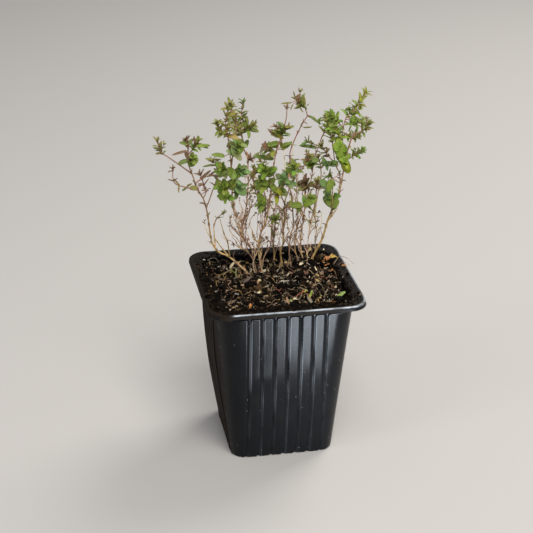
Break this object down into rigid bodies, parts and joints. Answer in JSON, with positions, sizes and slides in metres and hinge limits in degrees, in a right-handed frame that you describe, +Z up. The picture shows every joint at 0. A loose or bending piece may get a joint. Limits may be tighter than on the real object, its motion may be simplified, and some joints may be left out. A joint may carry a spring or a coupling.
{
  "type": "potted thyme",
  "caption": "Small-leaved thyme-like herb with woody stems and leafy shoots, growing in a square ribbed black plastic nursery pot full of soil.",
  "frame": {"origin": "middle of the pot's flat underside", "axes": "+Z up along the pot and the plant, -Y out of the ribbed front face, +X to the right of that face"},
  "size_m": [0.1298, 0.1035, 0.2083],
  "materials": {
    "pot_plastic": "thin moulded black plastic, satin, dusty",
    "potting_soil": "dark crumbly peat with fibres and bark",
    "stem_wood": "thin woody stems, tan to red-brown",
    "leaf_green": "soft green leaves with a slight sheen",
    "bark": "red-brown bark scraps",
    "dry_leaf": "dry tan leaf and root scraps"
  },
  "bodies": {
    "root": {"bark_strip": "bark", "branch_right_back": "stem_wood", "branch_right_top": "stem_wood", "chip_orange": "bark", "leaf_fallen": "leaf_green", "leaf_tan": "dry_leaf", "leaf_yellow": "dry_leaf", "pot": "pot_plastic", "root_pale": "dry_leaf", "shoot_back": "leaf_green", "shoot_broad_a": "leaf_green", "shoot_broad_b": "leaf_green", "shoot_broad_c": "leaf_green", "shoot_broad_d": "leaf_green", "shoot_broad_e": "leaf_green", "shoot_dark_tip": "leaf_green", "shoot_far_left": "leaf_green", "shoot_front_low": "leaf_green", "shoot_front_top": "leaf_green", "shoot_left_arch": "leaf_green", "shoot_left_dark": "leaf_green", "shoot_left_fork": "leaf_green", "shoot_left_top": "leaf_green", "shoot_low_left": "leaf_green", "shoot_middle_a": "leaf_green", "shoot_middle_b": "leaf_green", "shoot_middle_c": "leaf_green", "shoot_middle_d": "leaf_green", "shoot_middle_e": "leaf_green", "shoot_olive_low": "leaf_green", "shoot_olive_top": "leaf_green", "shoot_pink": "leaf_green", "shoot_right_back": "leaf_green", "shoot_right_bright": "leaf_green", "shoot_right_broad": "leaf_green", "shoot_right_inner": "leaf_green", "shoot_right_low": "leaf_green", "shoot_right_tip": "leaf_green", "shoot_right_top": "leaf_green", "shoot_short_tuft": "leaf_green", "shoot_tall_fork": "leaf_green", "shoot_tall_left": "leaf_green", "shoot_tall_right": "leaf_green", "shoot_tall_side": "leaf_green", "shoot_thin": "leaf_green", "soil": "potting_soil", "stem_back": "stem_wood", "stem_dark": "stem_wood", "stem_front": "stem_wood", "stem_leaning": "stem_wood", "stem_left": "stem_wood", "stem_middle": "stem_wood", "stem_olive": "stem_wood", "stem_pale": "stem_wood", "stem_right": "stem_wood", "stem_short": "stem_wood", "stem_slim": "stem_wood", "stem_tall": "stem_wood", "stem_thin": "stem_wood", "twig_red": "bark"}
  },
  "joints": []
}
